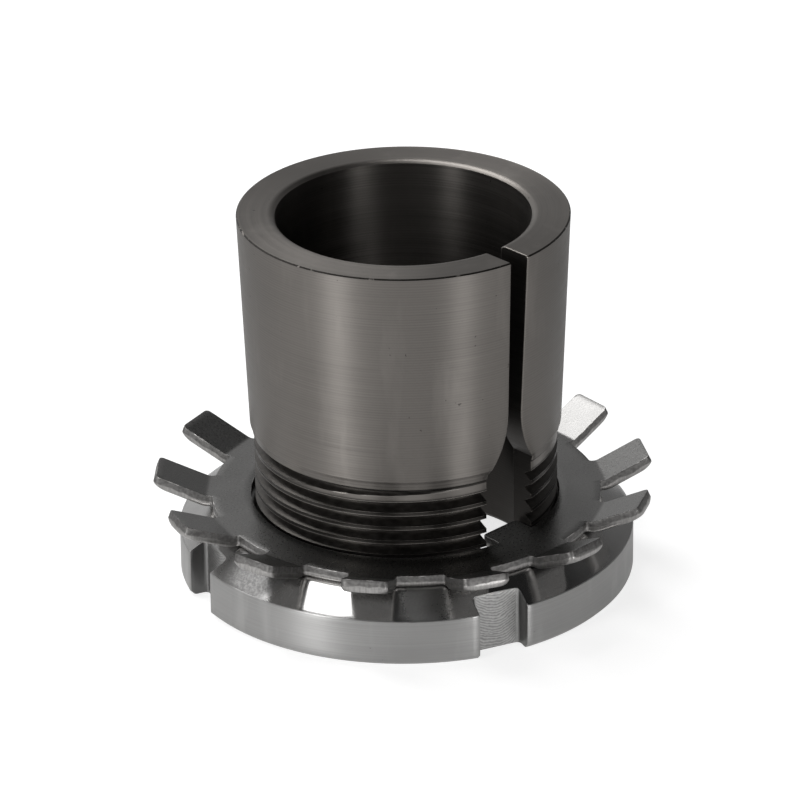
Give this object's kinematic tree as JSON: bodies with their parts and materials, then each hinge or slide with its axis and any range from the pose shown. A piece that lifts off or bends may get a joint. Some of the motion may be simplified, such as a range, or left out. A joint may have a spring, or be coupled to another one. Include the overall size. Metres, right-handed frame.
{
  "type": "bearing adapter sleeve",
  "caption": "Split taper sleeve with a threaded end, lock nut and tab washer, used to clamp a taper-bored bearing on a plain shaft.",
  "frame": {"origin": "on the bore's axis, in the plane of the sleeve's thread end, on which the part stands", "axes": "+Z along the bore's axis towards the large end of the taper, -Y through the middle of the sleeve's slot"},
  "size_m": [0.0493, 0.0491, 0.038],
  "materials": {
    "sleeve_steel": "dark turned steel, satin",
    "washer_steel": "dark stamped steel, satin, paler on sheared edges",
    "nut_steel": "ground steel, satin"
  },
  "bodies": {
    "sleeve": {"adapter_sleeve": "sleeve_steel"},
    "washer": {"lock_washer": "washer_steel"},
    "nut": {"lock_nut": "nut_steel"}
  },
  "joints": [
    {"name": "washer_slide", "type": "slide", "parent": "sleeve", "child": "washer", "axis": [0, 0, 1], "range_m": [-0.00375, 0.00675]},
    {"name": "nut_turn", "type": "hinge", "parent": "washer", "child": "nut", "pos_m": [0, 0, 0.0034], "axis": [0, 0, 1], "range_deg": [-900, 1620]}
  ],
  "couplings": [
    {"joint": "washer_slide", "follows": "nut_turn", "m_per_rad": 0.00023873}
  ]
}
